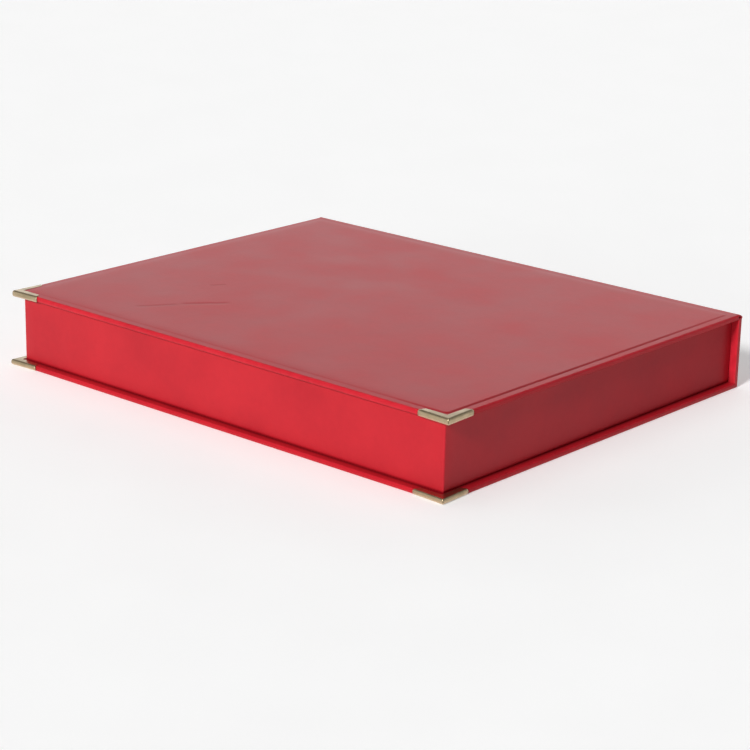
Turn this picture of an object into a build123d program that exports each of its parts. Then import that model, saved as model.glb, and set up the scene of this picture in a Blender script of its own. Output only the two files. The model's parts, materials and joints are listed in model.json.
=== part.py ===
from build123d import *
import os

# Diploma case: a book-style rigid box in leatherette, shown closed.
# X runs along the hinge, the fore-edge faces -Y, the spine faces +Y, +Z is up.
# The origin is on the table, under the middle of the case's bounding box.

# Overall sizes, over the leatherette
case_length = 320.0
case_depth = 259.4
case_height = 43.1

# Boards and coverings
wrap = 0.35
lid_board_thickness = 2.4
base_board_thickness = 2.1
spine_board_thickness = 2.4
edge_radius = 0.7
turn_in_width = 15.0

# How far the lid and the base stand proud of the tray
side_overhang = 4.2
base_ledge = 5.2
lid_setback = 2.3

# Raised panel on the lid
panel_inset = 5.2
panel_step = 0.5
panel_corner_radius = 2.0
panel_edge_radius = 0.3

# Tray
wall_board_thickness = 2.4
tray_floor_thickness = 2.0
tray_corner_radius = 1.2
rim_radius = 0.5
rim_turn_in = 14.0
lid_gap = 0.5

# Linings
wall_lining_thickness = 0.4
wall_lining_below_rim = 6.0
floor_lining_thickness = 1.5
floor_lining_clearance = 0.3
floor_lining_corner = 1.0
lid_lining_thickness = 1.2
lid_lining_clearance = 2.0
lid_lining_corner = 3.0
lid_lining_edge_radius = 0.5
hinge_strip_width = 14.0

# Hinge: the leatherette falls from the lid to the spine's outer face
hinge_gap = 0.4
hinge_shoulder = 2.4
hinge_shoulder_radius = 1.5
hinge_drop = 1.4
hinge_corner_radius = 0.8
hinge_over_spine = 0.5
hinge_lap = 1.2
hinge_lining_thickness = 0.3

# Stamped book corners
corner_plate = 0.45
corner_sink = 0.2
corner_arm = 20.4
corner_arm_inner = 18.2
corner_inset = 3.4
corner_tip = 1.4
corner_bend_radius = 0.8
corner_end_radius = 0.7
corner_seam_width = 0.35
corner_seam_height = 1.5

# Hidden closure
magnet_length = 15.0
magnet_height = 5.0
magnet_thickness = 2.0
magnet_from_end = 60.0
keeper_length = 20.0
keeper_width = 6.0
keeper_thickness = 0.6

# Planes across the depth
spine_outer_y = (case_depth + corner_tip) / 2
base_front_y = spine_outer_y - case_depth
lid_front_y = base_front_y + lid_setback
spine_inner_y = spine_outer_y - spine_board_thickness - 2 * wrap
lid_rear_y = spine_inner_y - hinge_gap
tray_front_y = base_front_y + base_ledge
tray_rear_y = spine_inner_y

# Planes up the height
base_top_z = base_board_thickness + 2 * wrap
lid_under_z = case_height - lid_board_thickness - 2 * wrap
rim_z = lid_under_z - lid_gap
spine_rise_z = case_height - hinge_drop - hinge_over_spine
hinge_foot_z = case_height - hinge_drop - hinge_lap
wall_foot_z = base_top_z + wrap
wall_top_z = rim_z - wrap
tray_floor_top_z = wall_foot_z + tray_floor_thickness
floor_lining_top_z = tray_floor_top_z + floor_lining_thickness
panel_top_z = case_height + panel_step

# Half lengths
case_half = case_length / 2
tray_half = case_half - side_overhang
window_half = case_half - turn_in_width

# Insets into the tray, from its outer face
board_outer = wrap
board_inner = wrap + wall_board_thickness
turn_in_inner = board_inner + wrap
lining_inner = turn_in_inner + wall_lining_thickness


def plate(half_length, y_span, z_span, corner=0.0, mode=Mode.ADD):
    """A flat plate centred on the case's length, between two planes each way."""
    y_low, y_high = y_span
    z_low, z_high = z_span
    with BuildSketch(Plane.XY.offset(z_low)) as outline:
        with Locations((0, (y_low + y_high) / 2)):
            Rectangle(2 * half_length, y_high - y_low)
        if corner > 0:
            fillet(outline.vertices(), corner)
    extrude(outline.sketch, amount=z_high - z_low, mode=mode)


def tray_plate(inset, z_span, corner=0.0, mode=Mode.ADD):
    """A plate that follows the tray's outline at the given inset."""
    y_span = (tray_front_y + inset, tray_rear_y - inset)
    plate(tray_half - inset, y_span, z_span, corner, mode)


def save(builder, name):
    """Label a finished piece and write it."""
    builder.part.label = name
    export_step(builder.part, f"parts/{name}.step")


def outwardness(shape):
    """How far a shape lies towards the right-hand fore-edge corner."""
    return shape.center().X - shape.center().Y


def book_corner(front_y, plate_under_z, plate_over_z):
    """A right-hand stamped corner: a U-section folded round the board, open at the back.

    The two heights are the inner faces of its lower and upper plates. Its sides touch the
    leatherette at the arms' ends and stand off it at the tip, where the covering is folded.
    """
    tip_x = case_half + corner_tip
    tip_y = front_y - corner_tip
    arm_end_x = tip_x - corner_arm
    arm_end_y = tip_y + corner_arm
    inner_x = case_half - corner_inset
    inner_y = front_y + corner_inset
    low_z = plate_under_z - corner_plate
    high_z = plate_over_z + corner_plate
    with BuildPart() as corner:
        with BuildSketch(Plane.XY.offset(low_z)) as outline:
            with BuildLine():
                Polyline(
                    (tip_x, tip_y),
                    (case_half + corner_plate, arm_end_y),
                    (inner_x, tip_y + corner_arm_inner),
                    (inner_x, inner_y),
                    (tip_x - corner_arm_inner, inner_y),
                    (arm_end_x, front_y - corner_plate),
                    close=True,
                )
            make_face()
            arm_ends = outline.vertices().sort_by(outwardness)[:2]
            fillet(arm_ends, corner_end_radius)
        extrude(amount=high_z - low_z)
        tip_edge = edges().filter_by(Axis.Z).sort_by(outwardness)[-1]
        sides = faces().filter_by(Axis.Z, reverse=True).sort_by(outwardness)[-2:]
        bends = [edge for side in sides for edge in side.edges().filter_by(Axis.Z, reverse=True)]
        fillet([tip_edge, *bends], corner_bend_radius)
        with BuildSketch(Plane.XY.offset(plate_under_z)):
            with BuildLine():
                Polyline(
                    (tip_x - corner_plate, tip_y + corner_plate),
                    (case_half, arm_end_y),
                    (case_half, arm_end_y + corner_arm),
                    (arm_end_x - corner_arm, arm_end_y + corner_arm),
                    (arm_end_x - corner_arm, front_y),
                    (arm_end_x, front_y),
                    close=True,
                )
            make_face()
        extrude(amount=plate_over_z - plate_under_z, mode=Mode.SUBTRACT)
        # The two sides meet in an open seam at the tip
        seam_centre = (tip_x, tip_y, (plate_under_z + plate_over_z) / 2)
        with BuildSketch(Plane(origin=seam_centre, x_dir=(1, 1, 0), z_dir=(1, -1, 0))):
            SlotOverall(corner_seam_height, corner_seam_width, rotation=90)
        extrude(amount=-2 * corner_tip, mode=Mode.SUBTRACT)
    return corner.part


def hinge_band(depth):
    """The hinge's section, y across and z up, to a depth below its outer surface."""
    with BuildSketch() as band:
        with BuildLine():
            FilletPolyline(
                (lid_rear_y, case_height),
                (spine_outer_y - hinge_shoulder, case_height),
                (spine_outer_y, case_height - hinge_drop),
                (spine_outer_y, hinge_foot_z),
                radius=[hinge_shoulder_radius, hinge_corner_radius],
            )
            offset(amount=depth, side=Side.RIGHT)
        make_face()
    return band.sketch


os.makedirs("parts", exist_ok=True)

# Boards of the base and the spine
with BuildPart() as base_board:
    plate(case_half - wrap, (base_front_y + wrap, spine_inner_y), (wrap, wrap + base_board_thickness))

with BuildPart() as spine_board:
    board_y = (spine_inner_y + wrap, spine_outer_y - wrap)
    plate(case_half - wrap, board_y, (wrap, spine_rise_z - wrap))

# Inner strip of the spine: up its inner face and over its top edge
with BuildPart() as spine_lining:
    plate(window_half, (spine_inner_y, spine_outer_y - wrap), (wrap, spine_rise_z))
    add(spine_board.part, mode=Mode.SUBTRACT)

# Book corners on the base, with the lower plate pressed in flush with the underside
base_corner_right_part = book_corner(base_front_y, corner_plate, base_top_z - corner_sink)
with BuildPart() as base_corner_right:
    add(base_corner_right_part)
with BuildPart() as base_corner_left:
    mirror(base_corner_right_part, about=Plane.YZ)
with BuildPart() as base_corners:
    add(base_corner_right.part)
    add(base_corner_left.part)
with BuildPart() as base_board_let_in:
    add(base_board.part)
    add(base_corners.part, mode=Mode.SUBTRACT)

# Leatherette round the base, turned in on its upper face
with BuildPart() as base_cover:
    plate(case_half, (base_front_y, spine_outer_y), (0, base_top_z))
    top_rear = edges().group_by(Axis.Z)[-1].sort_by(Axis.Y)[-1]
    fillet([edge for edge in edges() if edge != top_rear], edge_radius)
    window_y = (base_front_y + turn_in_width, spine_inner_y)
    plate(window_half, window_y, (base_top_z - wrap, base_top_z), mode=Mode.SUBTRACT)
    for inner in (base_board, spine_board, spine_lining, base_corners):
        add(inner.part, mode=Mode.SUBTRACT)

# Leatherette over the spine, round its ends and turned in on its inner face
with BuildPart() as spine_cover:
    plate(case_half, (spine_inner_y, spine_outer_y), (base_top_z, spine_rise_z))
    fillet(edges().filter_by(Axis.Z), edge_radius)
    for inner in (spine_board, spine_lining):
        add(inner.part, mode=Mode.SUBTRACT)
    hinge_seat_y = (spine_outer_y - wrap, spine_outer_y + wrap)
    plate(case_half, hinge_seat_y, (hinge_foot_z, case_height), mode=Mode.SUBTRACT)

# Tray: floor and four wall boards
with BuildPart() as tray_floor:
    tray_plate(board_inner, (wall_foot_z, tray_floor_top_z))

with BuildPart() as tray_back_wall:
    wall_y = (tray_rear_y - board_inner, tray_rear_y - board_outer)
    plate(tray_half - board_outer, wall_y, (wall_foot_z, wall_top_z))

magnet_x = case_half - magnet_from_end
magnet_z = wall_top_z - magnet_height
magnet_y = tray_front_y + board_inner - magnet_thickness / 2
with BuildPart() as magnet_right:
    with BuildSketch(Plane.XY.offset(magnet_z)):
        with Locations((magnet_x, magnet_y)):
            Rectangle(magnet_length, magnet_thickness)
    extrude(amount=magnet_height)
with BuildPart() as magnet_left:
    mirror(magnet_right.part, about=Plane.YZ)

with BuildPart() as tray_front_wall:
    wall_y = (tray_front_y + board_outer, tray_front_y + board_inner)
    plate(tray_half - board_outer, wall_y, (wall_foot_z, wall_top_z))
    for magnet in (magnet_left, magnet_right):
        add(magnet.part, mode=Mode.SUBTRACT)

with BuildPart() as tray_right_wall:
    with BuildSketch(Plane.XY.offset(wall_foot_z)):
        with Locations((tray_half - (board_outer + board_inner) / 2, (tray_front_y + tray_rear_y) / 2)):
            Rectangle(wall_board_thickness, tray_rear_y - tray_front_y - 2 * board_inner)
    extrude(amount=wall_top_z - wall_foot_z)
with BuildPart() as tray_left_wall:
    mirror(tray_right_wall.part, about=Plane.YZ)

# Leatherette on the tray: outside, over the rim, down inside and under the foot
with BuildPart() as tray_cover:
    tray_plate(0, (base_top_z, rim_z), tray_corner_radius)
    fillet(edges().group_by(Axis.Z)[-1], rim_radius)
    tray_plate(board_outer, (wall_foot_z, wall_top_z), mode=Mode.SUBTRACT)
    tray_plate(turn_in_inner, (wall_top_z, rim_z), mode=Mode.SUBTRACT)
    tray_plate(turn_in_width, (base_top_z, wall_foot_z), mode=Mode.SUBTRACT)
    turn_in_z = (rim_z - rim_turn_in, wall_top_z)
    tray_plate(board_inner, turn_in_z)
    tray_plate(turn_in_inner, turn_in_z, mode=Mode.SUBTRACT)

# Linings of the tray
with BuildPart() as tray_wall_lining:
    lining_z = (tray_floor_top_z, rim_z - wall_lining_below_rim)
    tray_plate(board_inner, lining_z)
    tray_plate(lining_inner, lining_z, mode=Mode.SUBTRACT)
    add(tray_cover.part, mode=Mode.SUBTRACT)

with BuildPart() as floor_lining:
    floor_inset = lining_inner + floor_lining_clearance
    tray_plate(floor_inset, (tray_floor_top_z, floor_lining_top_z), floor_lining_corner)

# Lid: board, card under the raised panel, and the steel keepers over the magnets
board_under_z = lid_under_z + wrap
board_over_z = case_height - wrap
card_inset = panel_inset + wrap

with BuildPart() as keeper_right:
    with BuildSketch(Plane.XY.offset(board_under_z)):
        with Locations((magnet_x, magnet_y)):
            Rectangle(keeper_length, keeper_width)
    extrude(amount=keeper_thickness)
with BuildPart() as keeper_left:
    mirror(keeper_right.part, about=Plane.YZ)

with BuildPart() as lid_board:
    board_y = (lid_front_y + wrap, lid_rear_y - wrap)
    plate(case_half - wrap, board_y, (board_under_z, board_over_z))
    for keeper in (keeper_left, keeper_right):
        add(keeper.part, mode=Mode.SUBTRACT)

with BuildPart() as lid_panel:
    card_y = (lid_front_y + card_inset, lid_rear_y - card_inset)
    card_corner = panel_corner_radius - wrap
    plate(case_half - card_inset, card_y, (board_over_z, panel_top_z - wrap), card_corner)

# Strip round the lid board's rear edge
with BuildPart() as lid_hinge_lining:
    strip_y = (lid_rear_y - hinge_strip_width, lid_rear_y)
    plate(window_half, strip_y, (lid_under_z, board_over_z))
    add(lid_board.part, mode=Mode.SUBTRACT)

# Book corners on the lid
lid_corner_right_part = book_corner(lid_front_y, lid_under_z + corner_sink, case_height - corner_sink)
with BuildPart() as lid_corner_right:
    add(lid_corner_right_part)
with BuildPart() as lid_corner_left:
    mirror(lid_corner_right_part, about=Plane.YZ)

# Leatherette over the lid, following the raised panel and turned in underneath
with BuildPart() as lid_cover:
    plate(case_half, (lid_front_y, lid_rear_y), (lid_under_z, case_height))
    rear_edges = faces().sort_by(Axis.Y)[-1].edges()
    fillet([edge for edge in edges() if edge not in rear_edges], edge_radius)
    panel_y = (lid_front_y + panel_inset, lid_rear_y - panel_inset)
    plate(case_half - panel_inset, panel_y, (board_over_z, panel_top_z), panel_corner_radius)
    fillet(edges().group_by(Axis.Z)[-1], panel_edge_radius)
    window_y = (lid_front_y + turn_in_width, lid_rear_y)
    plate(window_half, window_y, (lid_under_z, board_under_z), mode=Mode.SUBTRACT)
    for inner in (lid_board, lid_panel, lid_hinge_lining, keeper_left, keeper_right):
        add(inner.part, mode=Mode.SUBTRACT)
    for corner in (lid_corner_left, lid_corner_right):
        add(corner.part, mode=Mode.SUBTRACT)

# Lining card on the lid's inner face, with its back filling the window between the turn-ins
with BuildPart() as lid_lining:
    card_half = tray_half - lining_inner - lid_lining_clearance
    card_inset_y = lining_inner + lid_lining_clearance
    card_y = (tray_front_y + card_inset_y, tray_rear_y - card_inset_y)
    card_z = (lid_under_z - lid_lining_thickness, lid_under_z)
    plate(card_half, card_y, card_z, lid_lining_corner)
    fillet(edges().group_by(Axis.Z)[0], lid_lining_edge_radius)
    back_y = (lid_front_y + turn_in_width, lid_rear_y - hinge_strip_width)
    plate(window_half, back_y, (lid_under_z, board_under_z))

# Free width of the leatherette and of its inner strip, across the hinge
with BuildPart() as hinge_cover:
    with BuildSketch(Plane.YZ):
        add(hinge_band(wrap))
    extrude(amount=case_half, both=True)

with BuildPart() as hinge_lining:
    with BuildSketch(Plane.YZ):
        add(hinge_band(wrap + hinge_lining_thickness))
        add(hinge_band(wrap), mode=Mode.SUBTRACT)
    extrude(amount=case_half, both=True)
    plate(case_half, (lid_rear_y, spine_outer_y), (hinge_foot_z, spine_rise_z), mode=Mode.SUBTRACT)

save(base_board_let_in, "base_board")
save(base_cover, "base_cover")
save(base_corner_left, "base_corner_left")
save(base_corner_right, "base_corner_right")
save(spine_board, "spine_board")
save(spine_cover, "spine_cover")
save(spine_lining, "spine_lining")
save(tray_floor, "tray_floor")
save(tray_front_wall, "tray_front_wall")
save(tray_back_wall, "tray_back_wall")
save(tray_left_wall, "tray_left_wall")
save(tray_right_wall, "tray_right_wall")
save(tray_cover, "tray_cover")
save(tray_wall_lining, "tray_wall_lining")
save(floor_lining, "floor_lining")
save(magnet_left, "magnet_left")
save(magnet_right, "magnet_right")
save(lid_board, "lid_board")
save(lid_panel, "lid_panel")
save(lid_cover, "lid_cover")
save(lid_lining, "lid_lining")
save(keeper_left, "keeper_left")
save(keeper_right, "keeper_right")
save(lid_corner_left, "lid_corner_left")
save(lid_corner_right, "lid_corner_right")
save(lid_hinge_lining, "lid_hinge_lining")
save(hinge_cover, "hinge_cover")
save(hinge_lining, "hinge_lining")
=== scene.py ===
import json
import math

import bmesh
import bpy
from mathutils import Matrix, Vector, noise


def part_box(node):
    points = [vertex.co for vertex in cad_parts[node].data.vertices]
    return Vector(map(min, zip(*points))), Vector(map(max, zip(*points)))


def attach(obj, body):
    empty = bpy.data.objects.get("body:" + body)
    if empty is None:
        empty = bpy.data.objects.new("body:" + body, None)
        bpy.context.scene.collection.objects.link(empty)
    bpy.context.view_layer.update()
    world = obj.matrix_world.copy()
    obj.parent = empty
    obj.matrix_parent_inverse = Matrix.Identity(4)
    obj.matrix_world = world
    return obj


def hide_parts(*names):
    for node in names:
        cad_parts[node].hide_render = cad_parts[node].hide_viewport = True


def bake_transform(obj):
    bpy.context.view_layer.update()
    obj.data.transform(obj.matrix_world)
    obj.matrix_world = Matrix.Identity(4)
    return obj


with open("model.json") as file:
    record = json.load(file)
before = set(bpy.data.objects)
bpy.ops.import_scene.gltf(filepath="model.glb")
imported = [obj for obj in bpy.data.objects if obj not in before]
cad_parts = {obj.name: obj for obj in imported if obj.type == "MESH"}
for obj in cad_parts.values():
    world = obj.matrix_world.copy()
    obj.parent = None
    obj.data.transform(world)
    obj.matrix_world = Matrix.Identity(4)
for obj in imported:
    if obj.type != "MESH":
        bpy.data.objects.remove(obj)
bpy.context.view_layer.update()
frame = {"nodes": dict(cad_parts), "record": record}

# Diploma case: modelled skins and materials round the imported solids. Lengths are in millimetres up to
# where Blender gets them, in metres
MM = 0.001


def span(node, axis):
    """A CAD node's lowest and highest place along an axis, in millimetres."""
    low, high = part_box(node)
    return low[axis] / MM, high[axis] / MM


# Planes read from the CAD frame
HALF = span("lid_cover", 0)[1]
LID_FRONT, LID_REAR = span("lid_cover", 1)
LID_UNDER, PANEL_TOP = span("lid_cover", 2)
LID_TOP = span("hinge_cover", 2)[1]
BASE_FRONT, SPINE_OUTER = span("base_cover", 1)
BASE_TOP = span("base_cover", 2)[1]
SPINE_INNER = span("spine_cover", 1)[0]
SPINE_RISE = span("spine_lining", 2)[1]
HINGE_FOOT = span("hinge_cover", 2)[0]
TRAY_HALF = span("tray_cover", 0)[1]
TRAY_FRONT, TRAY_REAR = span("tray_cover", 1)
RIM = span("tray_cover", 2)[1]
STRIP_HALF = span("lid_hinge_lining", 0)[1]
STRIP_FRONT = span("lid_hinge_lining", 1)[0]

# The leatherette, its bends and its turn-ins, in millimetres
WRAP = 0.35
EDGE = 0.8
TURN_IN = 15.0
RIM_TURN_IN = 14.0
WALL = 3.1

# The raised panel, whose step is steep where the leatherette is tight and broad where it bridges the step
PANEL_INSET = 5.2
PANEL_RADIUS = 2.0
PANEL_X = HALF - PANEL_INSET
PANEL_FRONT = LID_FRONT + PANEL_INSET
PANEL_REAR = LID_REAR - PANEL_INSET
PANEL_MIDDLE = (PANEL_FRONT + PANEL_REAR) / 2
PANEL_SHARE = 0.75
TIGHT_STEP = 1.6
LOOSE_STEP = 10.5
LOOSE_START = -5.0

# The hinge: a shoulder behind the lid's rear edge, then the drop to the spine's outer face
HINGE_SHOULDER = 2.4
HINGE_DROP = 1.4
HINGE_INNER_LAYER = 0.3

# The stamped corners
CORNER_PLATE = 0.45
CORNER_TIP = 1.4
CORNER_ARM = 20.4
CORNER_INSET = 3.4
CORNER_CUT = 2.2


# Node trees

class NodeWriter:
    """Writes the node tree of a material or a world."""

    def __init__(self, owner):
        owner.use_nodes = True
        self.owner = owner
        self.tree = owner.node_tree
        self.tree.nodes.clear()

    def new(self, kind):
        return self.tree.nodes.new(kind)

    def link(self, source, target):
        self.tree.links.new(source, target)

    def put(self, socket, value):
        """Link what comes from a node, and set what is the same everywhere."""
        if isinstance(value, bpy.types.NodeSocket):
            self.link(value, socket)
        else:
            socket.default_value = value

    def math(self, operation, *values, clamp=False):
        node = self.new("ShaderNodeMath")
        node.operation = operation
        node.use_clamp = clamp
        for socket, value in zip(node.inputs, values):
            self.put(socket, value)
        return node.outputs[0]

    def weighted(self, first, share, second, other_share):
        return self.math(
            "ADD",
            self.math("MULTIPLY", first, share),
            self.math("MULTIPLY", second, other_share),
        )

    def ramp(self, value, low, high, to_low=0.0, to_high=1.0, smooth=False):
        node = self.new("ShaderNodeMapRange")
        node.interpolation_type = "SMOOTHSTEP" if smooth else "LINEAR"
        self.put(node.inputs["Value"], value)
        node.inputs["From Min"].default_value = low
        node.inputs["From Max"].default_value = high
        node.inputs["To Min"].default_value = to_low
        node.inputs["To Max"].default_value = to_high
        return node.outputs["Result"]

    def axes(self, vector):
        node = self.new("ShaderNodeSeparateXYZ")
        self.link(vector, node.inputs[0])
        return node.outputs


class Surface(NodeWriter):
    """Writes a material round one Principled shader. Sizes are in millimetres."""

    def __init__(self, name):
        super().__init__(bpy.data.materials.new(name))
        self.coords = self.new("ShaderNodeTexCoord").outputs["Object"]
        self.shader = self.new("ShaderNodeBsdfPrincipled")
        self.link(self.shader.outputs["BSDF"], self.new("ShaderNodeOutputMaterial").inputs["Surface"])

    def noise(self, size, detail=2.0, rough=0.5, distortion=0.0, stretch=None):
        source = self.coords
        if stretch is not None:
            mapping = self.new("ShaderNodeMapping")
            self.link(source, mapping.inputs["Vector"])
            mapping.inputs["Scale"].default_value = stretch
            source = mapping.outputs["Vector"]
        node = self.new("ShaderNodeTexNoise")
        self.link(source, node.inputs["Vector"])
        node.inputs["Scale"].default_value = 1.0 / (size * MM)
        node.inputs["Detail"].default_value = detail
        node.inputs["Roughness"].default_value = rough
        node.inputs["Distortion"].default_value = distortion
        return node.outputs["Fac"]

    def pebble(self, size):
        node = self.new("ShaderNodeTexVoronoi")
        node.feature = "SMOOTH_F1"
        self.link(self.coords, node.inputs["Vector"])
        node.inputs["Scale"].default_value = 1.0 / (size * MM)
        return node.outputs["Distance"]

    def mix(self, factor, first, second):
        node = self.new("ShaderNodeMix")
        node.data_type = "RGBA"
        self.put(node.inputs["Factor"], factor)
        for name, value in (("A", first), ("B", second)):
            socket = next(s for s in node.inputs if s.name == name and s.type == "RGBA")
            self.put(socket, (*value, 1.0) if isinstance(value, tuple) else value)
        return next(s for s in node.outputs if s.type == "RGBA")

    def tint(self, colour, other, where, share):
        """A colour turned towards another by a share, where something is."""
        return self.mix(self.math("MULTIPLY", where, share), colour, other)

    def attribute(self, name):
        node = self.new("ShaderNodeAttribute")
        node.attribute_name = name
        return node.outputs["Fac"]

    def bump(self, height, distance, strength=1.0, under=None):
        node = self.new("ShaderNodeBump")
        node.inputs["Strength"].default_value = strength
        node.inputs["Distance"].default_value = distance * MM
        self.put(node.inputs["Height"], height)
        if under is not None:
            self.link(under, node.inputs["Normal"])
        return node.outputs["Normal"]

    def crease(self, start, end, width):
        """1 on a slightly wandering line between two plan points, 0 beside it and at its ends."""
        wander, wander_size = 1.2, 9.0
        fade = 0.18
        x, y, _ = self.axes(self.coords)
        start_x, start_y = start[0] * MM, start[1] * MM
        run_x, run_y = end[0] * MM - start_x, end[1] * MM - start_y
        length = math.hypot(run_x, run_y)
        way_x, way_y = run_x / length, run_y / length
        from_x = self.math("SUBTRACT", x, start_x)
        from_y = self.math("SUBTRACT", y, start_y)
        along = self.weighted(from_x, way_x, from_y, way_y)
        across = self.math(
            "SUBTRACT",
            self.math("MULTIPLY", from_x, way_y),
            self.math("MULTIPLY", from_y, way_x),
        )
        drift = self.math("MULTIPLY", self.math("SUBTRACT", self.noise(wander_size), 0.5), wander * MM)
        across = self.math("ABSOLUTE", self.math("ADD", across, drift))
        beside = self.ramp(across, 0.0, width * MM, 1.0, 0.0, smooth=True)
        begins = self.ramp(along, 0.0, fade * length, smooth=True)
        ends = self.ramp(along, (1.0 - fade) * length, length, 1.0, 0.0, smooth=True)
        return self.math("MULTIPLY", beside, self.math("MULTIPLY", begins, ends))

    def finish(self, sockets):
        """Drive or set the shader's sockets by name, and hand the material back."""
        for name, value in sockets.items():
            self.put(self.shader.inputs[name], value)
        return self.owner


# Materials

RED_DEEP = (0.390, 0.0090, 0.0170)
RED_LIGHT = (0.460, 0.0125, 0.0210)
RED_WORN_AND_LIT = (0.86, 0.028, 0.060)
RED_PAINTED_SHADE = (0.080, 0.0010, 0.0020)
RED_PAINTED_CREASE_SHADE = (0.20, 0.002, 0.004)
SATIN_SHINE = 0.205
DULL_SHINE = 0.05
LEATHERETTE_IOR = 1.48

BRASS = (0.500, 0.396, 0.250)
BRASS_TARNISHED = (0.380, 0.298, 0.178)
BRASS_WORN_AND_LIT = (0.730, 0.545, 0.375)

CLOTH_DEEP = (0.735, 0.665, 0.535)
CLOTH_LIGHT = (0.790, 0.725, 0.600)
CLOTH_THREAD = (0.58, 0.50, 0.37)
CLOTH_PITCH = 0.42

# Each crease is its two ends in plan, its width and its depth, in millimetres
CREASES = [
    ((-88.2, -102.4), (-72.8, -80.6), 3.0, 0.07),
    ((-74.6, -81.6), (-54.3, -57.8), 3.4, 0.12),
    ((-90.6, -41.7), (-84.2, -32.3), 2.4, 0.04),
]


def leatherette(name, creases=(), with_marks=True):
    """Smooth satin red leatherette: soft mottling, fine specks, a fine pebble and pores.

    On a marked one the piece's marks count: wear and painted light make it paler, painted shade darker,
    and painted shade, painted dim sheen and the creases' painted shade take sheen away.
    """
    nodes = Surface(name)
    cloud = nodes.noise(40.0, detail=3.0, rough=0.55)
    fleck = nodes.noise(3.5, detail=4.0, rough=0.6)
    tone = nodes.weighted(cloud, 0.75, fleck, 0.25)
    colour = nodes.mix(nodes.ramp(tone, 0.35, 0.65), RED_DEEP, RED_LIGHT)
    rough = nodes.ramp(nodes.noise(40.0, detail=3.0), 0.3, 0.7, 0.35, 0.41)
    unevenness = nodes.noise(46.0, rough=0.45)
    pores = nodes.noise(0.28, rough=0.6)
    normal = nodes.bump(unevenness, distance=0.35)
    normal = nodes.bump(nodes.pebble(0.55), distance=0.030, strength=0.75, under=normal)
    normal = nodes.bump(pores, distance=0.012, strength=0.6, under=normal)
    shine = SATIN_SHINE
    if with_marks:
        painted_shade = nodes.attribute("painted_shade")
        patchy = nodes.ramp(nodes.noise(7.0, detail=4.0, rough=0.65), 0.35, 0.70)
        kept = nodes.math("ADD", nodes.math("MULTIPLY", patchy, 0.75), 0.25)
        wear = nodes.math("MULTIPLY", nodes.attribute("wear"), kept, clamp=True)
        # Paler where the marks say: partly real wear, partly a painted highlight on the edges and a
        # painted light on the spine's inner face
        colour = nodes.tint(colour, RED_WORN_AND_LIT, where=wear, share=0.45)
        # Painted shade: darker in the crevices at the walls' foot and the panel step's foot, and along
        # the tray's side walls
        colour = nodes.tint(colour, RED_PAINTED_SHADE, where=painted_shade, share=0.80)
        rough = nodes.math("ADD", rough, nodes.math("MULTIPLY", wear, 0.05))
        # Sheen taken away as painted shade: where shade is painted, on the dimmed edge faces and in the
        # creases
        painted_dulling = nodes.math("MAXIMUM", painted_shade, nodes.attribute("painted_dim_sheen"))
        for start, end, width, depth in creases:
            crease = nodes.crease(start, end, width)
            # Painted shade in the crease: darker and with less sheen; the bump below is the crease's own
            # dip
            colour = nodes.tint(colour, RED_PAINTED_CREASE_SHADE, where=crease, share=0.25)
            painted_dulling = nodes.math("MAXIMUM", painted_dulling, nodes.math("MULTIPLY", crease, 0.45))
            normal = nodes.bump(nodes.math("MULTIPLY", crease, -1.0), distance=depth, under=normal)
        shine = nodes.ramp(painted_dulling, 0.0, 1.0, SATIN_SHINE, DULL_SHINE)
    return nodes.finish({
        "Base Color": colour,
        "Roughness": rough,
        "Normal": normal,
        "IOR": LEATHERETTE_IOR,
        "Specular IOR Level": shine,
    })


def brass():
    """Pale stamped brass: fine rubbing marks, a little tarnish, and a lighter lower lip, partly worn and
    partly a painted highlight.
    """
    nodes = Surface("brass")
    tarnish = nodes.noise(7.0, detail=3.0)
    marks_one_way = nodes.noise(0.25, rough=0.6, stretch=(0.06, 1.0, 1.0))
    marks_other_way = nodes.noise(0.25, rough=0.6, stretch=(1.0, 0.06, 1.0))
    marks = nodes.math("MULTIPLY", nodes.math("ADD", marks_one_way, marks_other_way), 0.5)
    colour = nodes.mix(nodes.ramp(tarnish, 0.40, 0.72), BRASS, BRASS_TARNISHED)
    # Lighter on the lower lip: partly rubbed, partly a painted highlight
    colour = nodes.tint(colour, BRASS_WORN_AND_LIT, where=nodes.attribute("wear"), share=0.85)
    rough_metal = nodes.ramp(tarnish, 0.3, 0.7, 0.24, 0.32)
    rough_marks = nodes.ramp(marks, 0.4, 0.65, 0.0, 0.06)
    normal = nodes.bump(nodes.noise(5.0), distance=0.06)
    normal = nodes.bump(marks, distance=0.004, strength=0.4, under=normal)
    return nodes.finish({
        "Base Color": colour,
        "Roughness": nodes.math("ADD", rough_metal, rough_marks),
        "Normal": normal,
        "Metallic": 1.0,
    })


def plain_metal(name, dark, light, rough_low, rough_high):
    """Flat plated or rolled metal with a fine grain one way."""
    nodes = Surface(name)
    grain = nodes.noise(0.4, detail=3.0, rough=0.6, stretch=(0.08, 1.0, 1.0))
    return nodes.finish({
        "Base Color": nodes.mix(nodes.ramp(grain, 0.3, 0.7), dark, light),
        "Roughness": nodes.ramp(nodes.noise(2.0, detail=3.0), 0.3, 0.7, rough_low, rough_high),
        "Normal": nodes.bump(grain, distance=0.01, strength=0.5),
        "Metallic": 1.0,
    })


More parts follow.
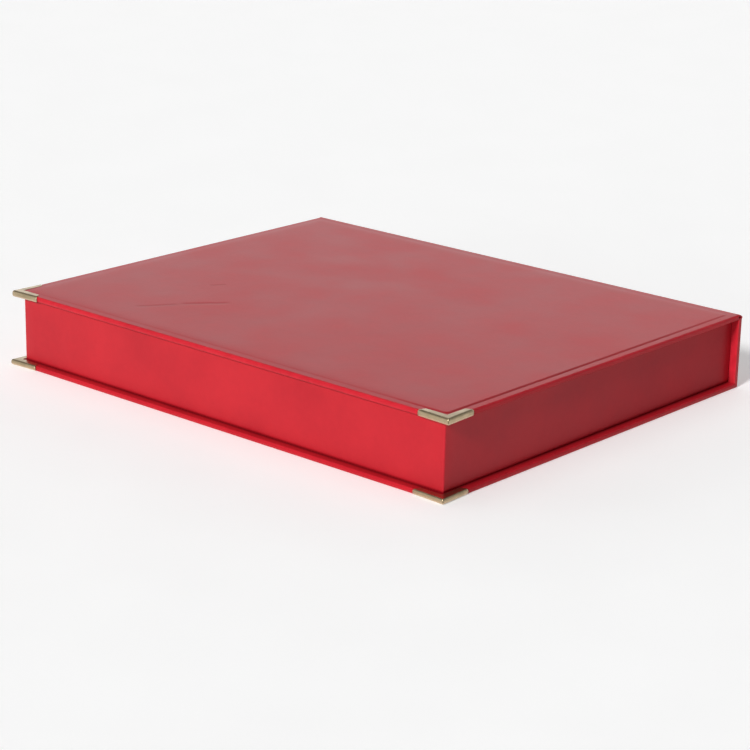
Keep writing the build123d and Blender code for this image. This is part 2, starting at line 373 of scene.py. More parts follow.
def satin_cloth():
    """Ivory satin-faced cloth on card: a fine twill with a soft sheen."""
    nodes = Surface("lining_cloth")
    x, y, _ = nodes.axes(nodes.coords)
    pitch = 2.0 * math.pi / (CLOTH_PITCH * MM)
    slant = nodes.math("ADD", x, nodes.math("MULTIPLY", y, 0.45))
    warp = nodes.math("SINE", nodes.math("MULTIPLY", slant, pitch))
    weft = nodes.math("SINE", nodes.math("MULTIPLY", y, pitch * 0.8))
    weave = nodes.weighted(warp, 0.35, weft, 0.15)
    thread = nodes.noise(0.9, detail=3.0, rough=0.6, stretch=(1.0, 0.12, 1.0))
    slub = nodes.math("ADD", weave, thread)
    cloud = nodes.noise(45.0, detail=3.0)
    colour = nodes.mix(nodes.ramp(cloud, 0.35, 0.65), CLOTH_DEEP, CLOTH_LIGHT)
    colour = nodes.mix(nodes.ramp(slub, 0.1, 0.9, 0.0, 0.22), colour, CLOTH_THREAD)
    normal = nodes.bump(nodes.noise(28.0), distance=0.35)
    normal = nodes.bump(slub, distance=0.035, strength=0.6, under=normal)
    return nodes.finish({
        "Base Color": colour,
        "Roughness": nodes.ramp(thread, 0.3, 0.7, 0.52, 0.66),
        "Normal": normal,
        "Sheen Weight": 0.25,
        "Sheen Roughness": 0.4,
    })


def fibrous(name, dark, light, rough_low, rough_high, fibre):
    """Paper or board: short fibres, flecks and a dry surface."""
    nodes = Surface(name)
    fibres = nodes.noise(fibre, detail=4.0, rough=0.65, distortion=0.4, stretch=(0.35, 1.0, 1.0))
    fleck = nodes.noise(2.5, detail=4.0, rough=0.7)
    tone = nodes.weighted(fibres, 0.6, fleck, 0.4)
    return nodes.finish({
        "Base Color": nodes.mix(nodes.ramp(tone, 0.35, 0.65), dark, light),
        "Roughness": nodes.ramp(fleck, 0.3, 0.7, rough_low, rough_high),
        "Normal": nodes.bump(fibres, distance=0.03, strength=0.5),
    })


# Meshes

def make_piece(name, verts, faces, body, slot, material, replaced=(), **marks):
    """A new piece from points in millimetres, joined where its patches meet, riding on its body.

    Each mark is a value for the material at every point: wear with painted light, painted shade and
    painted dim sheen.
    """
    weld = 0.004
    mesh = bpy.data.meshes.new(name)
    mesh.from_pydata([[c * MM for c in v] for v in verts], [], faces)
    mesh.validate()
    for mark, amount in marks.items():
        layer = mesh.attributes.new(mark, "FLOAT", "POINT")
        layer.data.foreach_set("value", [amount(*v) for v in verts])
    work = bmesh.new()
    work.from_mesh(mesh)
    bmesh.ops.remove_doubles(work, verts=work.verts, dist=weld * MM)
    work.to_mesh(mesh)
    work.free()
    mesh.polygons.foreach_set("use_smooth", [True] * len(mesh.polygons))
    mesh.materials.append(material)
    piece = bpy.data.objects.new(name, mesh)
    bpy.context.scene.collection.objects.link(piece)
    if body:
        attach(piece, body)
    if replaced:
        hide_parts(*replaced)
    return piece


def spaced(low, high, step):
    """Even stations from low to high, both included."""
    count = max(1, round((high - low) / step))
    return [low + (high - low) * i / count for i in range(count + 1)]


def stations(low, high, low_fine, high_fine, step):
    """Fine stations in from both ends, then even ones between."""
    left = [low + inset for inset in low_fine]
    right = [high - inset for inset in reversed(high_fine)]
    return left + spaced(left[-1], right[0], step)[1:-1] + right


def quarter(steps):
    """The angles of a quarter turn."""
    return [math.radians(90 * i / steps) for i in range(steps + 1)]


def arc(centre, radius, from_deg, to_deg, steps=5):
    """Points of a profile on an arc, both ends included."""
    y, z = centre
    turns = [math.radians(from_deg + (to_deg - from_deg) * i / steps) for i in range(steps + 1)]
    return [(y + radius * math.cos(turn), z + radius * math.sin(turn)) for turn in turns]


def run(start, end, step):
    """Points between two profile points, both left out."""
    count = max(1, round(math.dist(start, end) / step))
    return [
        (start[0] + (end[0] - start[0]) * i / count, start[1] + (end[1] - start[1]) * i / count)
        for i in range(1, count)
    ]


def joined(pieces, step):
    """One closed list of points from runs of points, filled between them."""
    whole = []
    for i, piece in enumerate(pieces):
        following = pieces[(i + 1) % len(pieces)][0]
        whole += piece + run(piece[-1], following, step)
    return whole


def inset_profile(points, amount):
    """A closed profile moved inward by amount, given anticlockwise."""
    least_lean = 0.35
    moved = []
    for i, (y, z) in enumerate(points):
        before_y, before_z = points[i - 1]
        after_y, after_z = points[(i + 1) % len(points)]
        arriving = Vector((y - before_y, z - before_z)).normalized()
        leaving = Vector((after_y - y, after_z - z)).normalized()
        inward = Vector((-arriving.y, arriving.x))
        mean = (inward + Vector((-leaving.y, leaving.x))).normalized()
        reach = amount / max(least_lean, mean.dot(inward))
        moved.append((y + mean.x * reach, z + mean.y * reach))
    return moved


def swell(x, y, size, amount, seed):
    """A soft unevenness of a surface, in millimetres."""
    return amount * noise.noise(Vector((x / size, y / size, seed)))


def rising(value, start, end):
    """0 up to start, 1 from end on, and smooth between."""
    share = min(1.0, max(0.0, (value - start) / (end - start)))
    return share * share * (3.0 - 2.0 * share)


def near(value, at, reach):
    """1 at a place, falling smoothly to 0 at a reach from it."""
    return 1.0 - rising(abs(value - at), start=0.0, end=reach)


def quads(rows, cols, closed=False, start=0, flip=False):
    """Faces of a grid whose points run along each row of cols points."""
    made = []
    width = cols if closed else cols - 1
    for row in range(rows - 1):
        for col in range(width):
            first = start + row * cols + col
            second = start + row * cols + (col + 1) % cols
            quad = (first, second, second + cols, first + cols)
            made.append(quad[::-1] if flip else quad)
    return made


def end_caps(rows, cols, flip=False):
    """The two faces that close a tube of closed rows at its ends."""
    first = tuple(range(cols))
    last = tuple(range((rows - 1) * cols, rows * cols))
    return [first, last[::-1]] if flip else [first[::-1], last]


# The lid's leatherette

def panel_depth(x, y):
    """Distance inside the raised panel's rounded outline, negative outside it."""
    past_x = abs(x) - (PANEL_X - PANEL_RADIUS)
    past_y = abs(y - PANEL_MIDDLE) - ((PANEL_REAR - PANEL_FRONT) / 2 - PANEL_RADIUS)
    outside = math.hypot(max(past_x, 0.0), max(past_y, 0.0))
    return PANEL_RADIUS - outside - min(max(past_x, past_y), 0.0)


def bridged(x, y):
    """How far the leatherette bridges the panel's step.

    It is pulled tight at the right end, less so by the spine, and partly in front by the near corner.
    """
    loosest = 0.85
    spine_share, corner_share = 0.5, 0.55
    from_others = min(y - PANEL_FRONT, PANEL_REAR - y)
    at_right = rising(from_others - (PANEL_X - x), start=-7.0, end=7.0)
    at_right *= 1.0 - spine_share * rising(y, start=PANEL_REAR - 90.0, end=PANEL_REAR)
    by_corner = rising(x, start=105.0, end=150.0) * near(y, at=PANEL_FRONT, reach=20.0)
    return loosest * (1.0 - at_right) * (1.0 - corner_share * by_corner)


def lid_height(x, y):
    """The lid's upper surface: flat round the edge, then a faint ditch, then raised over the panel."""
    ditch_depth = 0.05
    depth = panel_depth(x, y)
    loose = bridged(x, y)
    tight_rise = rising(depth, start=-TIGHT_STEP / 2, end=TIGHT_STEP / 2)
    loose_rise = rising(depth, start=LOOSE_START, end=LOOSE_START + LOOSE_STEP)
    rise = tight_rise * (1.0 - loose) + loose_rise * loose
    crown = rising(depth, start=0.0, end=30.0)
    soft = swell(x, y, size=52.0, amount=0.05, seed=3.0) * crown
    soft += swell(x, y, size=18.0, amount=0.012, seed=8.0) * rise
    ditch = ditch_depth * near(depth, at=-0.9, reach=0.8) * (1.0 - loose)
    return LID_TOP + PANEL_SHARE * (PANEL_TOP - LID_TOP) * rise + soft - ditch


def lid_skin(material):
    # Stations in from each edge, closest over the panel's step
    fine = [EDGE, 1.4, 2.4, 3.2, 3.7, 4.0, 4.3, 4.6, 4.8, 5.0, 5.2, 5.4, 5.6, 5.8, 6.1, 6.5, 7.0, 7.8]
    fine += [9.0, 11.0, 14.0]
    step = 6.0
    xs = stations(-HALF, HALF, fine, fine, step)
    ys = stations(LID_FRONT, LID_REAR, fine, [0.0, *fine], step)
    verts = [(x, y, lid_height(x, y)) for y in ys for x in xs]
    faces = quads(len(ys), len(xs))

    # The loop round the top's edge, and which way is outward at each of its points
    slant = 0.85
    loop = [(x, ys[0], (0, -1)) for x in xs[:-1]]
    loop += [(xs[-1], y, (1, 0)) for y in ys[:-1]]
    loop += [(x, ys[-1], (0, 0)) for x in reversed(xs[1:])]
    loop += [(xs[0], y, (-1, 0)) for y in reversed(ys[1:])]
    corners = {
        (xs[0], ys[0]): (-slant, -slant),
        (xs[-1], ys[0]): (slant, -slant),
        (xs[-1], ys[-1]): (1, 0),
        (xs[0], ys[-1]): (-1, 0),
    }
    loop = [(x, y, corners.get((x, y), out)) for x, y, out in loop]

    # The rings under that loop: round the upper bend, down the edge, round the lower bend and inward
    thick = LID_TOP - LID_UNDER
    rings = [(EDGE * math.sin(turn), -EDGE * (1 - math.cos(turn))) for turn in quarter(6)]
    rings.append((EDGE, -thick / 2))
    rings += [(EDGE * math.cos(turn), -thick + EDGE * (1 - math.sin(turn))) for turn in quarter(6)]
    rings += [(-inset, -thick) for inset in (1.0, 3.0, 6.0, 10.0, TURN_IN - EDGE)]
    rings.append((-(TURN_IN - EDGE), -thick + WRAP))
    start = len(verts)
    for offset, drop in rings:
        on_edge = offset > 0.5 * EDGE
        for x, y, (out_x, out_y) in loop:
            wave = swell(x + y, drop * 4, size=40.0, amount=0.05, seed=5.0) if on_edge else 0.0
            if offset >= 0:
                x += out_x * (offset + wave * abs(out_x))
                y += out_y * (offset + wave * abs(out_y))
            else:
                x = min(max(x, -HALF - offset), HALF + offset)
                y = min(max(y, LID_FRONT - offset), LID_REAR + offset)
            verts.append((x, y, LID_TOP + drop))
    faces += quads(len(rings), len(loop), closed=True, start=start, flip=True)

    # The upper bend and the front lip, lighter: partly worn, partly a painted highlight
    def wear(x, y, z):
        inset = min(HALF - abs(x), y - LID_FRONT)
        upper_bend = near(inset, at=0.2, reach=0.8) * near(z, at=LID_TOP - 0.3, reach=1.0)
        front_lip = near(y, at=LID_FRONT, reach=0.6) * near(z, at=LID_UNDER + 1.1, reach=1.2)
        return max(0.5 * upper_bend, 0.6 * front_lip)

    # Painted shade along the foot of the panel's step, where the leatherette is tight, fainter towards
    # the back
    def painted_shade(x, y, z):
        if z < LID_TOP - 0.2:
            return 0.0
        step_foot = near(panel_depth(x, y), at=-0.3, reach=1.5)
        tight = 1.0 - bridged(x, y)
        far = rising(y, start=PANEL_FRONT, end=PANEL_REAR)
        return 0.42 * step_foot * tight * (1.0 - 0.5 * far)

    # Painted dim sheen: less sheen on the edge faces' upper bend, and low on the ends
    def painted_dim_sheen(x, y, z):
        end, front = HALF - abs(x), y - LID_FRONT
        if min(end, front) > 0.5:
            return 0.0
        upper = near(z, at=LID_TOP - 1.0, reach=1.2)
        lower = near(z, at=LID_UNDER + 0.2, reach=1.5) if end < 0.5 else 0.0
        return max(upper, lower)

    marks = {"wear": wear, "painted_shade": painted_shade, "painted_dim_sheen": painted_dim_sheen}
    make_piece("lid_skin", verts, faces, "lid", "leatherette", material, ["lid_cover"], **marks)


# The leatherette of the base and the spine, one piece as on the real case

def case_skin(material):
    # The base's upper front bend, the bends on the spine's top, and the plane under the hinge's band
    lip = 1.0
    crest = 0.65
    seat = SPINE_OUTER - WRAP
    beside_wall = (2.6, 1.7, 1.0, 0.5, 0.0, -0.4)
    step = 7.0
    margin = 6.0
    hollow = 0.05
    profile = joined(
        [
            arc((BASE_FRONT + EDGE, EDGE), EDGE, 180, 270),
            arc((SPINE_OUTER - EDGE, EDGE), EDGE, 270, 360),
            [(SPINE_OUTER, HINGE_FOOT - 1.0), (SPINE_OUTER, HINGE_FOOT)],
            [(seat, HINGE_FOOT + 0.02)],
            arc((seat - crest, SPINE_RISE - crest), crest, 0, 90),
            arc((SPINE_INNER + crest, SPINE_RISE - crest), crest, 90, 180),
            [(SPINE_INNER, BASE_TOP + 0.25)],
            [(SPINE_INNER - 0.07, BASE_TOP + 0.07)],
            [(SPINE_INNER - 0.25, BASE_TOP)],
            [(TRAY_FRONT - out, BASE_TOP) for out in reversed(beside_wall)],
            arc((BASE_FRONT + lip, BASE_TOP - lip), lip, 90, 180, steps=7),
        ],
        step,
    )

    # Each section along the case: its place, and how far the profile is drawn in to round the end
    bend = crest - 0.07
    turns = reversed(quarter(6))
    ends = [(HALF - bend + bend * math.sin(turn), bend * (1 - math.cos(turn))) for turn in turns]
    fine = [HALF - bend - TRAY_HALF - out for out in beside_wall]
    sections = [(-x, inset) for x, inset in ends]
    sections += [(x, 0.0) for x in stations(-(HALF - bend), HALF - bend, fine, fine, step)]
    sections += [(x, inset) for x, inset in reversed(ends)]
    verts = []
    for x, inset in sections:
        for y, z in inset_profile(profile, inset):
            inside = abs(x) < HALF - margin and BASE_FRONT + margin < y < SPINE_OUTER - margin
            upright = y > SPINE_OUTER - 0.01 or y < BASE_FRONT + 0.01
            lift, bow = 0.0, 0.0
            if inside and z < hollow:
                lift = hollow + swell(x, y, size=45.0, amount=0.04, seed=2.0)
            if upright:
                bow = swell(x, z, size=40.0, amount=0.05, seed=6.0)
            verts.append((x, y + bow, z + lift))
    faces = quads(len(sections), len(profile), closed=True)
    faces += end_caps(len(sections), len(profile))

    # Paler rims, partly worn and partly a painted highlight, and a painted light over the spine's inner
    # face above the base
    def wear(x, y, z):
        inset, reach = 0.25, 0.5
        end = near(abs(x), HALF - inset, reach)
        foot = near(z, inset, reach)
        ledge = near(z, BASE_TOP - inset, reach)
        front = near(y, BASE_FRONT + inset, reach)
        back = near(y, SPINE_OUTER - inset, reach)
        inner = near(y, SPINE_INNER, reach)
        above_base = rising(z, start=BASE_TOP, end=BASE_TOP + 4.0)
        rims = max(end * foot, 0.4 * end * ledge, front * foot, 0.4 * front * ledge, back * foot)
        spine = max(end * back, end * inner, 0.8 * inner * above_base)
        return max(rims, spine)

    # Painted shade on the ledge beside the tray's foot
    def painted_shade(x, y, z):
        if abs(z - BASE_TOP) > 0.3:
            return 0.0
        return 0.75 * near(max(abs(x) - TRAY_HALF, TRAY_FRONT - y, 0.0), at=0.0, reach=2.0)

    # Painted dim sheen on the base's edge faces below its upper bend
    def painted_dim_sheen(x, y, z):
        inset = min(HALF - abs(x), y - BASE_FRONT)
        return near(z, at=BASE_TOP - 0.7, reach=1.3) if inset < 0.5 and z < BASE_TOP else 0.0

    replaced = ["base_cover", "spine_cover", "spine_lining"]
    marks = {"wear": wear, "painted_shade": painted_shade, "painted_dim_sheen": painted_dim_sheen}
    make_piece("case_skin", verts, faces, "case", "leatherette", material, replaced, **marks)


# The tray's leatherette: outside, over the rim and down inside

def tray_loop(inset, radius):
    """The tray's rounded outline at an inset, as points and outward directions."""
    side_steps, corner_steps = 44, 5
    right = TRAY_HALF - inset
    front, rear = TRAY_FRONT + inset, TRAY_REAR - inset
    sides = [
        ((-right + radius, front), (right - radius, front), (0, -1), -90),
        ((right, front + radius), (right, rear - radius), (1, 0), 0),
        ((right - radius, rear), (-right + radius, rear), (0, 1), 90),
        ((-right, rear - radius), (-right, front + radius), (-1, 0), 180),
    ]
    points = []
    for start, end, out, angle in sides:
        for i in range(side_steps + 1):
            share = i / side_steps
            x, y = (a + (b - a) * share for a, b in zip(start, end))
            points.append((x, y, *out))
        centre_x, centre_y = end[0] - out[0] * radius, end[1] - out[1] * radius
        for i in range(1, corner_steps):
            turn = math.radians(angle + 90 * i / corner_steps)
            out_x, out_y = math.cos(turn), math.sin(turn)
            points.append((centre_x + radius * out_x, centre_y + radius * out_y, out_x, out_y))
    return points


def tray_skin(material):
    bend = 0.6
    corner_radius, least_radius = 1.0, 0.35
    foot_slope, foot_least_radius = 2.9, 0.05
    level = 6.0
    foot = ((0.33, 0.0), (0.31, 0.12), (0.22, 0.35), (0.09, 0.65), (0.0, 1.0), (0.0, 1.5), (0.0, 2.2))
    foot_height = 3.2
    rings = [(inset, BASE_TOP + rise) for inset, rise in foot]
    rings += [(0.0, z) for z in spaced(BASE_TOP + foot_height, RIM - 2.0, 4.5)]
    rounded = [(bend * (1 - math.cos(turn)), RIM - bend + bend * math.sin(turn)) for turn in quarter(6)]
    rings += rounded
    rings.append((WALL / 2, RIM))
    rings += [(WALL - inset, z) for inset, z in reversed(rounded)]
    rings += [(WALL, RIM - drop) for drop in (3.0, 8.0, RIM_TURN_IN)]
    rings.append((WALL - WRAP, RIM - RIM_TURN_IN))
    verts = []
    for inset, z in rings:
        # Below, the corners stay tight enough to clear the boards inside them
        if z < RIM / 2:
            radius = min(corner_radius, max(foot_least_radius, foot_slope * (WRAP - inset)))
        else:
            radius = max(corner_radius - inset, least_radius)
        loop = tray_loop(inset, radius)
        growing = min(1.0, (z - BASE_TOP) / level) if inset <= WALL / 2 else 0.0
        for x, y, out_x, out_y in loop:
            bow = swell(x + 2 * y, z, size=46.0, amount=0.07, seed=1.0) * growing
            verts.append((x + out_x * bow, y + out_y * bow, z))
    faces = quads(len(rings), len(loop), closed=True)

    # Paler upright corners and rim: partly worn, partly a painted highlight
    def wear(x, y, z):
        side, front = TRAY_HALF - abs(x), min(y - TRAY_FRONT, TRAY_REAR - y)
        upright = near(math.hypot(side, front), at=0.3, reach=0.7)
        rim = near(min(side, front), at=0.2, reach=0.5) * near(z, at=RIM - 0.2, reach=0.6)
        return max(0.5 * upright, 0.7 * rim)

    # Painted shade along the walls' foot, reaching higher towards the spine, and a faint painted shade
    # over the side walls that grows towards the spine
    def painted_shade(x, y, z):
        toward_spine = rising(y, start=TRAY_FRONT, end=TRAY_REAR) if abs(x) > TRAY_HALF - 0.5 else 0.0
        foot_line = near(z, at=BASE_TOP, reach=1.8 + 1.8 * toward_spine)
        return max(0.75 * foot_line, 0.18 * toward_spine)

    # Painted dim sheen on the right wall, growing towards the spine
    def painted_dim_sheen(x, y, z):
        return 0.75 * rising(y, start=TRAY_FRONT, end=TRAY_REAR) if x > TRAY_HALF - 0.5 else 0.0

    marks = {"wear": wear, "painted_shade": painted_shade, "painted_dim_sheen": painted_dim_sheen}
    make_piece("tray_skin", verts, faces, "case", "leatherette", material, ["tray_cover"], **marks)


# The hinge: two soft bands, curved over from the lid's rear edge down to the spine

def hinge_line(depth, foot):
    """The hinge's section at a depth below its outer surface, from the lid to the spine."""
    lid_radius, spine_radius = 1.5, 0.8
    least_radius = 0.12
    slope = math.degrees(math.atan2(HINGE_DROP, HINGE_SHOULDER))
    lid_tangent = lid_radius * math.tan(math.radians(slope / 2))
    spine_tangent = spine_radius * math.tan(math.radians((90 - slope) / 2))
    lid_centre = (SPINE_OUTER - HINGE_SHOULDER - lid_tangent, LID_TOP - lid_radius)
    spine_centre = (SPINE_OUTER - spine_radius, LID_TOP - HINGE_DROP - spine_tangent)
    line = [(LID_REAR, LID_TOP - depth)]
    line += arc(lid_centre, lid_radius - depth, 90, 90 - slope)
    line += arc(spine_centre, max(spine_radius - depth, least_radius), 90 - slope, 0, steps=6)
    line.append((SPINE_OUTER - depth, foot))
    return line


def hinge_band(name, top, bottom, half, foot, folded, material, replaced):
    """One layer of the hinge, thicker towards its ends by what is folded under there."""
    xs = [-half, -half + 0.15, *spaced(-half + 0.5, half - 0.5, 6.0), half - 0.15, half]
    settle = 0.6
    verts = []
    for x in xs:
        extra = folded * rising(abs(x), start=half - 9.0, end=half - 3.0)
        section = hinge_line(top, foot) + hinge_line(bottom + extra, foot)[::-1]
        ripple = swell(x, 0.0, size=14.0, amount=0.10, seed=9.0)
        ripple += swell(x, 0.0, size=5.0, amount=0.04, seed=12.0)
        for y, z in section:
            fade = rising(LID_TOP - z, 0.0, settle) * rising(z - foot, 0.0, settle)
            verts.append((x, y + 0.5 * ripple * fade, z + ripple * fade))
    faces = quads(len(xs), len(section), closed=True, flip=True)
    faces += end_caps(len(xs), len(section), flip=True)

    def wear(x, y, z):
        bend = near(y, at=SPINE_OUTER, reach=0.5) * near(z, at=LID_TOP - HINGE_DROP, reach=0.8)
        return max(0.5 * bend, near(abs(x), at=half, reach=0.4))

    band = make_piece(name, verts, faces, None, "leatherette", material, replaced, wear=wear)
    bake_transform(band)


# The strip round the lid board's rear edge

def lid_strip(material):
    proud = 0.08
    bend = 0.5
    rear, under = LID_REAR + proud, LID_UNDER - proud
    section = [(LID_REAR, LID_TOP - WRAP), (rear, LID_TOP - WRAP - 0.1)]
    section += arc((rear - bend, under + bend), bend, 0, -90)
    section += run(section[-1], (STRIP_FRONT, under), 3.0)
    section += [(STRIP_FRONT, under), (STRIP_FRONT, LID_UNDER + 0.1)]
    xs = [-STRIP_HALF, *spaced(-STRIP_HALF + 0.3, STRIP_HALF - 0.3, 6.0), STRIP_HALF]
    verts = []
    for x in xs:
        # At its two ends the strip is drawn in onto the board
        lap = 0.0 if STRIP_HALF - abs(x) > 0.2 else proud
        verts += [(x, min(y, rear - lap), max(z, under + lap)) for y, z in section]
    faces = quads(len(xs), len(section), flip=True)
    make_piece("lid_strip", verts, faces, "lid", "leatherette", material, ["lid_hinge_lining"])


# The stamped corners

def corner_section(low, high):
    """The sheet's U: outside from the top flange round to the lower one, then back inside.

    Each point is a distance from the outer edge, a share of the flange's whole width and a height.
    """
    plate = CORNER_PLATE
    upper_in, upper_down = 1.15, 1.5
    lower_in, lower_up = 0.9, 1.2
    brim = (1.0, 0.97, 0.80, 0.45)

    def bends(turns, skin):
        """The bends' points a skin's depth inside the outer surface, upper and lower apart."""
        upper, lower = [], []
        for turn in turns:
            sine, cosine = math.sin(turn), math.cos(turn)
            upper_z = high - skin - (upper_down - skin) * (1 - cosine)
            lower_z = low + skin + (lower_up - skin) * (1 - sine)
            upper.append((upper_in - (upper_in - skin) * sine, upper_z))
            lower.append((lower_in - (lower_in - skin) * cosine, lower_z))
        return upper, lower

    turns = quarter(7)
    upper, lower = bends(turns, 0.0)
    outer = upper + [(0.0, (low + lower_up + high - upper_down) / 2)] + lower
    upper, lower = bends(turns[::2], plate)
    inner = upper + lower
    section = [(0.0, share, high) for share in brim]
    section += [(inward, 0.0, z) for inward, z in outer]
    section += [(0.0, share, low) for share in brim[::-1]]
    section += [(0.0, share, low + plate) for share in brim]
    section += [(inward, 0.0, z) for inward, z in inner[::-1]]
    section += [(0.0, share, high - plate) for share in brim[::-1]]
    return section


def corner_skin(node, body, front, material):
    """A soft-edged stamped corner, wide at its tip and tight on the leatherette at its arms' ends."""
    low, high = span(node, 2)
    side = 1 if span(node, 0)[1] > 0 else -1
    tip_x, tip_y = HALF + CORNER_TIP, front - CORNER_TIP
    tip_round = 0.9
    end_round = 0.7
    seam_from, seam_depth = 20.1, 0.5
    section = corner_section(low, high)

    # Stations along each arm, from its end to the seam at the tip
    stops = [0.0, 0.8, 1.6, 3.0, 6.0, 9.0, 12.0, 15.0, 17.0, 18.4, 19.2, 19.6, 19.8, 20.0, seam_from]
    path = [(stop, False) for stop in [*stops, CORNER_ARM]] + [(stop, True) for stop in reversed(stops)]
    verts = []
    for stop, second_arm in path:
        reach = stop / CORNER_ARM
        edge = CORNER_PLATE + (CORNER_TIP - CORNER_PLATE) * reach
        deep = CORNER_INSET + edge
        for distance, part, z in section:
            share = part + distance / deep
            along = CORNER_ARM - stop - share * (CORNER_CUT * (1 - reach)) + share * deep * reach
            below = low + end_round - z
            on_end = stop == 0.0 and share < 0.2
            if on_end and below > 0:
                along -= end_round - math.sqrt(max(0.0, end_round**2 - below**2))
            across = share * deep - edge + CORNER_TIP
            short_across, short_along = max(0.0, tip_round - across), max(0.0, tip_round - along)
            if short_across > 0 and short_along > 0:
                shrink = max(short_across, short_along) / math.hypot(short_across, short_along)
                across = tip_round - short_across * shrink
                along = tip_round - short_along * shrink
            in_seam = stop >= seam_from and low + 0.8 < z < high - 1.2 and share < 0.1
            if in_seam:
                across += seam_depth
                along += seam_depth
            if second_arm:
                x, y = tip_x - across, tip_y + along
            else:
                x, y = tip_x - along, tip_y + across
            verts.append((side * x, y, z))
    faces = quads(len(path), len(section), closed=True) + end_caps(len(path), len(section))
    if side < 0:
        faces = [face[::-1] for face in faces]

    # The lower lip, lighter: partly rubbed, partly a painted highlight
    def wear(x, y, z):
        return near(z, at=low + 0.5, reach=0.9)

    make_piece(node + "_skin", verts, faces, body, "brass", material, [node], wear=wear)


# The pieces

red = leatherette("leatherette")
red_lid = leatherette("leatherette_lid", CREASES)
red_inner = leatherette("leatherette_inner", with_marks=False)
brass_plate = brass()

SLOT_MATERIALS = {
    "leatherette": red_inner,
    "brass": brass_plate,
    "panel_lining": satin_cloth(),
    "wall_lining": fibrous(
        "lining_paper",
        dark=(0.66, 0.59, 0.46),
        light=(0.75, 0.69, 0.56),
        rough_low=0.62,
        rough_high=0.78,
        fibre=0.6,
    ),
    "greyboard": fibrous(
        "greyboard",
        dark=(0.30, 0.275, 0.235),
        light=(0.42, 0.39, 0.34),
        rough_low=0.80,
        rough_high=0.92,
        fibre=0.8,
    ),
    "magnet_plating": plain_metal(
        "nickel",
        dark=(0.52, 0.52, 0.53),
        light=(0.66, 0.66, 0.67),
        rough_low=0.15,
        rough_high=0.28,
    ),
    "keeper_steel": plain_metal(
        "keeper_steel",
        dark=(0.40, 0.40, 0.41),
        light=(0.52, 0.52, 0.53),
        rough_low=0.30,
        rough_high=0.45,
    ),
}
for subpart in frame["record"]["subparts"]:
    node = frame["nodes"][subpart["node"]]
    node.data.materials.clear()
    node.data.materials.append(SLOT_MATERIALS[subpart["material_slot"]])

lid_skin(red_lid)
case_skin(red)
tray_skin(red)
hinge_band(
    "hinge_skin",
    top=0.0,
    bottom=WRAP,
    half=HALF,
    foot=HINGE_FOOT,
    folded=0.0,
    material=red,
    replaced=["hinge_cover"],
)
hinge_band(
    "hinge_inner",
    top=WRAP,
    bottom=WRAP + HINGE_INNER_LAYER,
    half=HALF - 0.15,
    foot=SPINE_RISE + 0.03,
    folded=0.45,
    material=red,
    replaced=["hinge_lining"],
)
lid_strip(red_inner)
for level, body, front in (("lid", "lid", LID_FRONT), ("base", "case", BASE_FRONT)):
    for hand in ("left", "right"):
        corner_skin(f"{level}_corner_{hand}", body, front, brass_plate)


# Floor, light and camera

def floor():
    reach = 14.0
    below = 0.0001
    nodes = Surface("floor")
    tone = nodes.ramp(nodes.noise(60.0, detail=3.0), 0.3, 0.7)
    material = nodes.finish({
        "Base Color": nodes.mix(tone, (0.84, 0.84, 0.84), (0.86, 0.86, 0.86)),
        "Roughness": 0.9,
        "Specular IOR Level": 0.1,
        "Emission Color": (1, 1, 1, 1),
        "Emission Strength": 0.235,
    })
    mesh = bpy.data.meshes.new("floor")
    corners = [(-reach, -reach, 0), (reach, -reach, 0), (reach, reach, 0), (-reach, reach, 0)]
    mesh.from_pydata(corners, [], [(0, 1, 2, 3)])
    mesh.materials.append(material)
    plane = bpy.data.objects.new("floor", mesh)
    plane.location.z = -below
    bpy.context.scene.collection.objects.link(plane)


def soft_sun(name, azimuth, elevation, spread, strength):
    """An even, soft light from one side, in degrees. Azimuth 0 is in front, 90 at the right end."""
    distance = 3.0
    azimuth, elevation = math.radians(azimuth), math.radians(elevation)
    level = math.cos(elevation)
    way = Vector((math.sin(azimuth) * level, -math.cos(azimuth) * level, math.sin(elevation)))
    data = bpy.data.lights.new(name, "SUN")
    data.angle = math.radians(spread)
    data.energy = strength
    lamp = bpy.data.objects.new(name, data)
    lamp.location = way * distance
    lamp.rotation_mode = "QUATERNION"
    lamp.rotation_quaternion = way.to_track_quat("Z", "Y")
    bpy.context.scene.collection.objects.link(lamp)


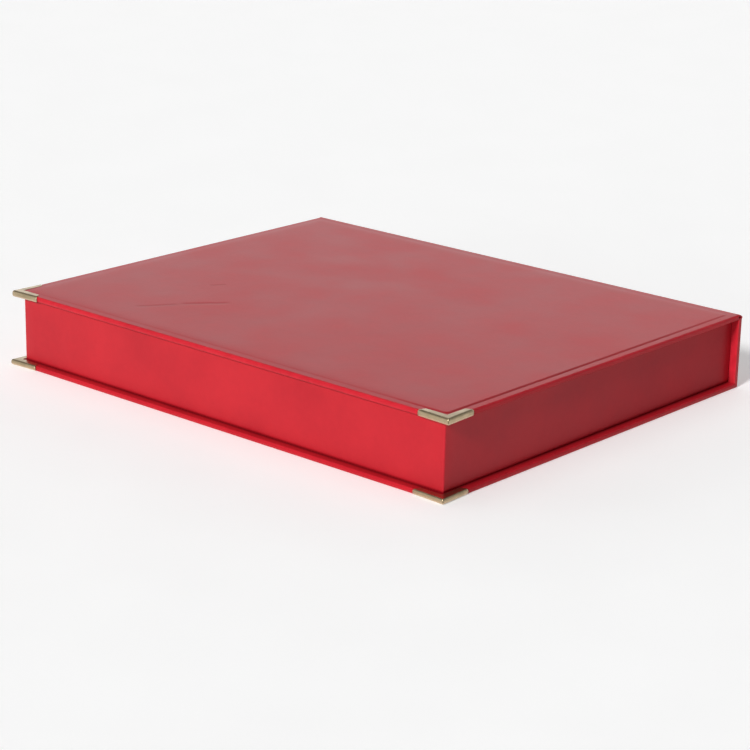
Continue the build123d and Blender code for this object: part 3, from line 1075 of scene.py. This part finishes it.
def studio_world():
    """A pale studio: a bright band above the horizon, brightest behind on the left, and a darker top."""
    bright_side = Vector((-0.85, 0.52, 0.0)).normalized()
    nodes = NodeWriter(bpy.data.worlds.new("studio"))
    way = nodes.new("ShaderNodeTexCoord").outputs["Generated"]
    toward = nodes.new("ShaderNodeVectorMath")
    toward.operation = "DOT_PRODUCT"
    toward.inputs[1].default_value = bright_side
    nodes.link(way, toward.inputs[0])
    around = nodes.ramp(toward.outputs["Value"], -0.75, 0.95, 0.12, 1.65, smooth=True)
    band = nodes.ramp(nodes.axes(way)["Z"], 0.30, 0.62, 1.0, 0.14, smooth=True)
    background = nodes.new("ShaderNodeBackground")
    nodes.link(nodes.math("MULTIPLY", around, band), background.inputs["Strength"])
    nodes.link(background.outputs[0], nodes.new("ShaderNodeOutputWorld").inputs[0])
    bpy.context.scene.world = nodes.owner


def place_camera():
    """The photograph's camera, from a fit to the case's edges."""
    azimuth, elevation, roll = math.radians(41.265), math.radians(17.598), math.radians(1.157)
    place = Vector((0.81123, -0.92270, 0.39017))
    focal_px, frame_px, sensor = 2266.7, 750.0, 36.0
    level = math.cos(elevation)
    back = Vector((math.sin(azimuth) * level, -math.cos(azimuth) * level, math.sin(elevation)))
    side = Vector((0, 0, 1)).cross(back).normalized()
    rise = back.cross(side)
    right = side * math.cos(roll) + rise * math.sin(roll)
    up = rise * math.cos(roll) - side * math.sin(roll)
    data = bpy.data.cameras.new("camera")
    data.sensor_width = sensor
    data.lens = focal_px / frame_px * sensor
    data.clip_start, data.clip_end = 0.01, 60.0
    camera = bpy.data.objects.new("camera", data)
    turn = Matrix((right, up, back)).transposed().to_4x4()
    camera.matrix_world = Matrix.Translation(place) @ turn
    bpy.context.scene.collection.objects.link(camera)
    bpy.context.scene.camera = camera


floor()
studio_world()
soft_sun("key", azimuth=8.5, elevation=31.0, spread=10.0, strength=2.75)
soft_sun("low", azimuth=6.0, elevation=8.0, spread=16.0, strength=0.60)
soft_sun("top", azimuth=250.0, elevation=78.0, spread=50.0, strength=0.42)
place_camera()
bpy.context.scene.view_settings.view_transform = "Standard"
